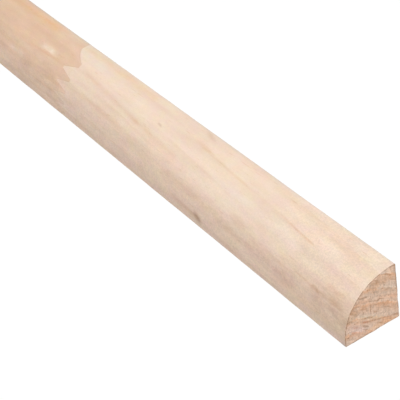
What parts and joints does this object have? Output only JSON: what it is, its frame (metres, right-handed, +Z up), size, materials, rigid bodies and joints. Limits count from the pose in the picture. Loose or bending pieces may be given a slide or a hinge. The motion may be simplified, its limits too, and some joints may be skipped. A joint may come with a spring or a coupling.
{
  "type": "quarter round moulding",
  "caption": "Straight finger-jointed pine trim strip with a quarter round section: flat bottom, flat back, one rounded face and square sawn ends.",
  "frame": {"origin": "middle of the bottom face", "axes": "+X along the stick towards the near end, +Y from the round to the flat back face, +Z up from the bottom face"},
  "size_m": [0.9, 0.019, 0.019],
  "materials": {
    "pale_pine": "planed bare softwood, pale cream with faint pink and tan grain, rough sawn end grain",
    "amber_pine": "planed bare softwood, warmer orange tan with small pale flecks",
    "straw_pine": "planed bare softwood, straw colour with fine grain lines, rough sawn end grain"
  },
  "bodies": {
    "root": {"front_block": "pale_pine", "middle_block": "amber_pine", "rear_block": "straw_pine"}
  },
  "joints": []
}
